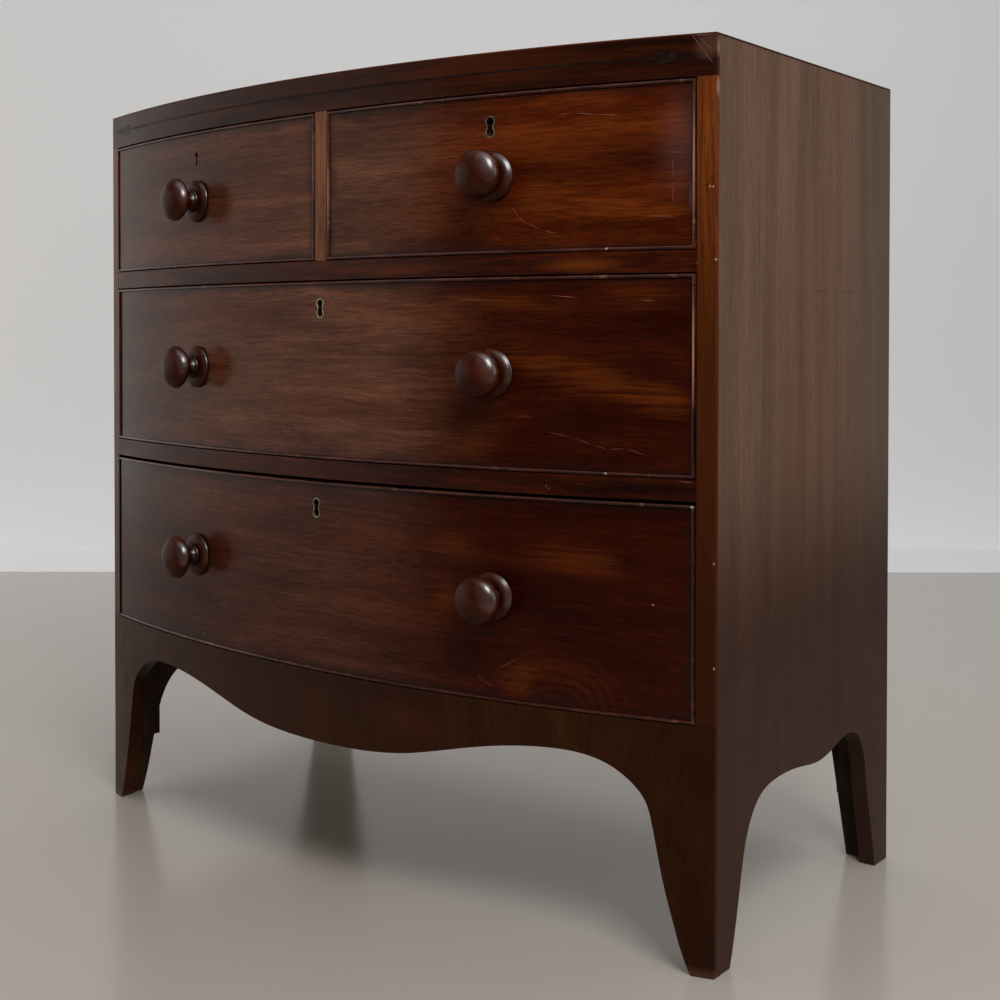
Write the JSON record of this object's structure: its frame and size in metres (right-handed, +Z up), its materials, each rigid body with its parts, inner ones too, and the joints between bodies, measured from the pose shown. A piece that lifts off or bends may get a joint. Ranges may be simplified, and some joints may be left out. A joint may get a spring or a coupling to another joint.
{
  "type": "bow front chest of drawers",
  "caption": "Bow-fronted mahogany chest of drawers with short drawers over long ones, turned knobs, cockbeading, inlaid frieze and swept bracket feet.",
  "frame": {"origin": "middle of the ground that the chest covers, knobs included, at the floor under its feet", "axes": "+Z up; the drawers face -Y, so -Y is the front; +X is to the right of someone facing them"},
  "size_m": [0.914, 0.5045, 0.903],
  "materials": {
    "mahogany_side": "French-polished solid mahogany, upright grain",
    "mahogany_top": "French-polished mahogany veneer",
    "mahogany_frieze": "French-polished mahogany veneer, level grain",
    "mahogany_stile": "French-polished mahogany facing, upright grain",
    "mahogany_rail": "French-polished mahogany, level grain",
    "mahogany_base": "French-polished mahogany",
    "mahogany_front": "French-polished figured mahogany",
    "mahogany_bead": "rubbed mahogany moulding",
    "mahogany_knob": "turned and polished mahogany",
    "ebony": "inlaid and polished flush",
    "pine": "planed pine, unfinished",
    "drawer_lining": "planed, unfinished",
    "brass": "worn, tarnished",
    "lock_brass": "tarnished",
    "bolt_steel": "dull"
  },
  "bodies": {
    "carcass": {"side_right": "mahogany_side", "side_left": "mahogany_side", "top_board": "pine", "top_veneer": "mahogany_top", "top_rail": "pine", "rail_upper": "mahogany_rail", "rail_lower": "mahogany_rail", "frieze_facing": "mahogany_frieze", "frieze_inlay": "ebony", "stile_right": "mahogany_stile", "stile_left": "mahogany_stile", "centre_divider": "mahogany_rail", "bottom_board": "pine", "apron": "mahogany_base", "foot_front_right": "mahogany_base", "foot_front_left": "mahogany_base", "foot_rear_right": "pine", "foot_rear_left": "pine", "glue_blocks": "pine", "runners_upper": "pine", "runners_lower": "pine", "kickers": "pine", "drawer_stops": "pine", "backboards": "pine"},
    "drawer_upper_left": {"upper_left_front": "mahogany_front", "upper_left_cockbead": "mahogany_bead", "upper_left_sides": "drawer_lining", "upper_left_back": "drawer_lining", "upper_left_bottom": "drawer_lining", "upper_left_lock": "lock_brass", "upper_left_knob": "mahogany_knob"},
    "drawer_upper_right": {"upper_right_front": "mahogany_front", "upper_right_cockbead": "mahogany_bead", "upper_right_sides": "drawer_lining", "upper_right_back": "drawer_lining", "upper_right_bottom": "drawer_lining", "upper_right_lock": "lock_brass", "upper_right_knob": "mahogany_knob", "upper_right_escutcheon": "brass"},
    "drawer_middle": {"middle_front": "mahogany_front", "middle_cockbead": "mahogany_bead", "middle_sides": "drawer_lining", "middle_back": "drawer_lining", "middle_bottom": "drawer_lining", "middle_lock": "lock_brass", "middle_knobs": "mahogany_knob", "middle_escutcheon": "brass"},
    "drawer_lower": {"lower_front": "mahogany_front", "lower_cockbead": "mahogany_bead", "lower_sides": "drawer_lining", "lower_back": "drawer_lining", "lower_bottom": "drawer_lining", "lower_lock": "lock_brass", "lower_knobs": "mahogany_knob", "lower_escutcheon": "brass"},
    "bolt_upper_left": {"upper_left_bolt": "bolt_steel"},
    "bolt_upper_right": {"upper_right_bolt": "bolt_steel"},
    "bolt_middle": {"middle_bolt": "bolt_steel"},
    "bolt_lower": {"lower_bolt": "bolt_steel"}
  },
  "joints": [
    {"name": "upper_left_slide", "type": "slide", "parent": "carcass", "child": "drawer_upper_left", "axis": [0, -1, 0], "range_m": [0, 0.3]},
    {"name": "upper_right_slide", "type": "slide", "parent": "carcass", "child": "drawer_upper_right", "axis": [0, -1, 0], "range_m": [0, 0.3]},
    {"name": "middle_slide", "type": "slide", "parent": "carcass", "child": "drawer_middle", "axis": [0, -1, 0], "range_m": [0, 0.3]},
    {"name": "lower_slide", "type": "slide", "parent": "carcass", "child": "drawer_lower", "axis": [0, -1, 0], "range_m": [0, 0.3]},
    {"name": "upper_left_bolt_throw", "type": "slide", "parent": "drawer_upper_left", "child": "bolt_upper_left", "axis": [0, 0, 1], "range_m": [0, 0.007]},
    {"name": "upper_right_bolt_throw", "type": "slide", "parent": "drawer_upper_right", "child": "bolt_upper_right", "axis": [0, 0, 1], "range_m": [0, 0.007]},
    {"name": "middle_bolt_throw", "type": "slide", "parent": "drawer_middle", "child": "bolt_middle", "axis": [0, 0, 1], "range_m": [0, 0.007]},
    {"name": "lower_bolt_throw", "type": "slide", "parent": "drawer_lower", "child": "bolt_lower", "axis": [0, 0, 1], "range_m": [0, 0.007]}
  ]
}
